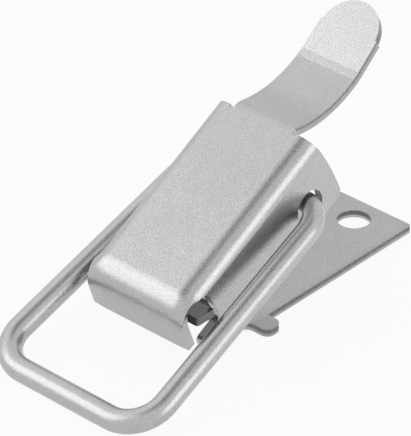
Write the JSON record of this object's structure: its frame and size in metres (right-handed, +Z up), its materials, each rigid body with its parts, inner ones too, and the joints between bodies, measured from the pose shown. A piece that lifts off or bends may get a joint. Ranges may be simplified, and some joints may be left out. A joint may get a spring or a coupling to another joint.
{
  "type": "over centre toggle latch",
  "caption": "Over centre toggle latch: a flat fixing plate with a cranked tongue, a folded lever with a thumb tab, and a wire bail that draws a lid down as the lever closes.",
  "frame": {"origin": "the fixing plate's underside, midway between its two fixing holes", "axes": "+X along the plate towards the bail's bar, +Y across the latch along both hinge axes, +Z up off the mounting surface"},
  "size_m": [0.0759, 0.0356, 0.0423],
  "materials": {
    "plate_steel": "pale zinc plate, matte with a fine grain",
    "lever_steel": "pale zinc plate, matte with a fine grain",
    "wire_steel": "pale zinc plate, satin"
  },
  "bodies": {
    "base": {"base_plate": "plate_steel"},
    "lever": {"lever": "lever_steel"},
    "bail": {"bail": "wire_steel"}
  },
  "joints": [
    {"name": "lever_pivot", "type": "hinge", "parent": "base", "child": "lever", "pos_m": [0.03513, 0, 0.01015], "axis": [0, 1, 0], "range_deg": [-28.8, 86.2]},
    {"name": "bail_pivot", "type": "hinge", "parent": "lever", "child": "bail", "pos_m": [0.01065, 0, 0.01969], "axis": [0, 1, 0], "range_deg": [-165, 15]}
  ]
}
